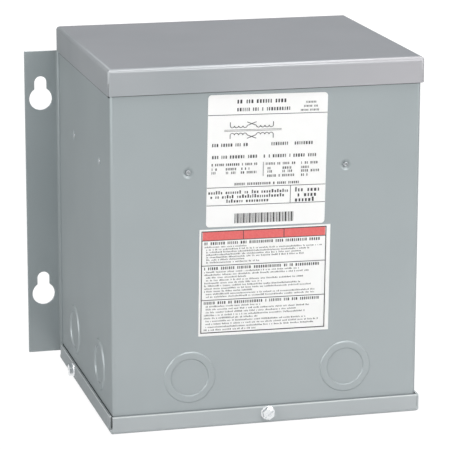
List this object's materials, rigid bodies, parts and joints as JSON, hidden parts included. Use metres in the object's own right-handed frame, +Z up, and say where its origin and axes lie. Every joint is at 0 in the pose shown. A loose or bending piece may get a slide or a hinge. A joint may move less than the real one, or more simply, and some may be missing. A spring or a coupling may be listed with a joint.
{
  "type": "dry-type transformer",
  "caption": "Small wall-mounted dry-type transformer in a folded steel case with keyhole flanges, conduit knockouts, a lipped cover and a bottom pan.",
  "frame": {"origin": "centre of the bottom of the whole object's box, on the floor that the pan's flat underside rests on", "axes": "+Z up, +Y towards the wall, so the front with the labels faces -Y, and +X to the right as seen from the front"},
  "size_m": [0.221, 0.1578, 0.2088],
  "materials": {
    "painted_steel": "semi-gloss light grey baked enamel on sheet steel",
    "potting": "dark potting compound round an iron core and windings, hidden in the case",
    "bare_zinc": "bright zinc-plated steel",
    "label_sheet": "satin white self-adhesive film"
  },
  "bodies": {
    "root": {"wrapper": "painted_steel", "back_panel": "painted_steel", "top_cover": "painted_steel", "bottom_pan": "painted_steel", "potted_core": "potting", "knockout_ring_front_left": "painted_steel", "knockout_disc_front_left": "painted_steel", "knockout_ring_front_right": "painted_steel", "knockout_disc_front_right": "painted_steel", "knockout_ring_left_front": "painted_steel", "knockout_disc_left_front": "painted_steel", "knockout_ring_left_rear": "painted_steel", "knockout_disc_left_rear": "painted_steel", "knockout_ring_right_front": "painted_steel", "knockout_disc_right_front": "painted_steel", "knockout_ring_right_rear": "painted_steel", "knockout_disc_right_rear": "painted_steel", "rivets_front": "painted_steel", "rivets_left": "painted_steel", "rivets_right": "painted_steel", "screw_front": "bare_zinc", "screw_left": "bare_zinc", "screw_right": "bare_zinc", "rating_label": "label_sheet", "notice_label": "label_sheet"}
  },
  "joints": []
}
